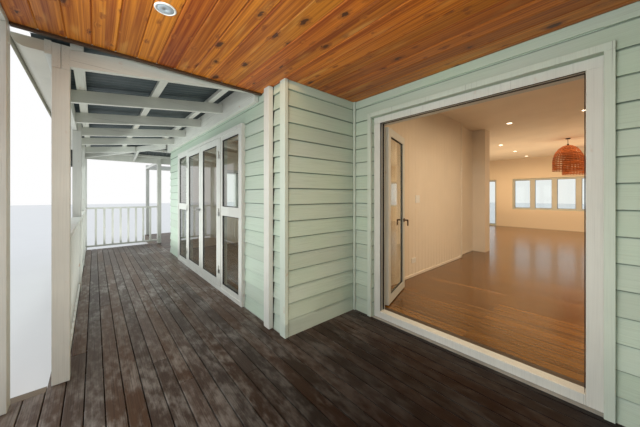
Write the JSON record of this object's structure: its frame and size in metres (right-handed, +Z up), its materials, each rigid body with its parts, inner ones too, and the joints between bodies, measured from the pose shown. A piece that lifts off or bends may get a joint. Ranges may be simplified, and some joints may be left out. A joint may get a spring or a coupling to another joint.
{
  "type": "beach house",
  "caption": "Single-storey weatherboard beach house with a recessed entry porch, glazed double doors, a wrap-round lean-to verandah with railings, side pergolas and a hipped sheet-metal roof.",
  "frame": {"origin": "middle of the house's plan, on the ground under its floor slab", "axes": "+Z up; the entry and the front verandah face -Y; +X runs along the front, to the right of a person facing the house"},
  "size_m": [18.762, 13.78, 5.3807],
  "materials": {
    "concrete": "plain grey concrete",
    "decking_red": "weathered reddish-brown deck boards",
    "decking": "weathered grey-brown deck boards",
    "floor_timber": "warm polished timber boards",
    "lamp_rim": "white paint",
    "woven_cane": "woven reddish cane",
    "joist_timber": "rough treated timber",
    "weatherboard": "pale sage satin paint over lapped boards",
    "inner_paint": "off-white matt paint",
    "oiled_pine": "oiled knotty pine, satin",
    "white_timber": "off-white satin paint",
    "roof_sheet": "dark grey colour-coated corrugated steel",
    "gutter_metal": "white colour-coated steel",
    "door_white": "white semi-gloss paint",
    "brown_timber": "oiled brown timber",
    "hinge_metal": "satin steel",
    "black_paint": "black satin paint",
    "bronze": "dark bronze",
    "glass": "clear glass"
  },
  "bodies": {
    "house": {"house_slab": "concrete", "room_floor": "floor_timber", "porch_deck": "decking_red", "verandah_decks": "decking", "deck_joists": "joist_timber", "entry_wall_piers": "weatherboard", "return_walls": "weatherboard", "front_wall_piers": "weatherboard", "door_heads": "weatherboard", "side_walls": "weatherboard", "back_wall": "weatherboard", "hall_walls": "inner_paint", "room_ceiling": "inner_paint", "porch_ceiling": "oiled_pine", "porch_beams": "white_timber", "porch_posts": "white_timber", "verandah_posts": "white_timber", "verandah_beams": "white_timber", "verandah_rafters": "white_timber", "verandah_purlins": "white_timber", "verandah_roof": "roof_sheet", "ledgers": "white_timber", "verandah_fascias": "white_timber", "gutters": "gutter_metal", "railings": "white_timber", "pergola_frames": "white_timber", "corner_boards": "white_timber", "entry_frame": "door_white", "entry_facings": "weatherboard", "entry_threshold": "brown_timber", "door_hinges": "hinge_metal", "verandah_frames": "door_white", "fixed_sashes": "door_white", "window_frames": "door_white", "house_glass": "glass", "main_roof": "roof_sheet", "roof_caps": "roof_sheet", "porch_roof": "roof_sheet", "porch_gable": "weatherboard", "ceiling_trims": "brown_timber", "ceiling_lights": "lamp_rim", "pendant_lamps": "woven_cane", "post_light": "black_paint"},
    "entry_door_left_leaf": {"entry_door_left": "door_white", "entry_glass_left": "glass", "entry_handle_left": "bronze"},
    "entry_door_right_leaf": {"entry_door_right": "door_white", "entry_glass_right": "glass"},
    "verandah_door_inner_leaf": {"verandah_door_inner": "door_white", "verandah_glass_inner": "glass"},
    "verandah_door_outer_leaf": {"verandah_door_outer": "door_white", "verandah_glass_outer": "glass", "verandah_handle_outer": "hinge_metal"}
  },
  "joints": [
    {"name": "entry_left_swing", "type": "hinge", "parent": "house", "child": "entry_door_left_leaf", "pos_m": [-0.8205, -4.548, 0.274], "axis": [0, 0, 1], "range_deg": [-107, 0]},
    {"name": "entry_right_swing", "type": "hinge", "parent": "house", "child": "entry_door_right_leaf", "pos_m": [0.8205, -4.548, 0.274], "axis": [0, 0, -1], "range_deg": [-107, 0]},
    {"name": "verandah_inner_swing", "type": "hinge", "parent": "house", "child": "verandah_door_inner_leaf", "pos_m": [-2.6595, -5.692, 0.256], "axis": [0, 0, 1], "range_deg": [0, 95]},
    {"name": "verandah_outer_swing", "type": "hinge", "parent": "house", "child": "verandah_door_outer_leaf", "pos_m": [-4.2295, -5.692, 0.256], "axis": [0, 0, -1], "range_deg": [0, 95]}
  ]
}
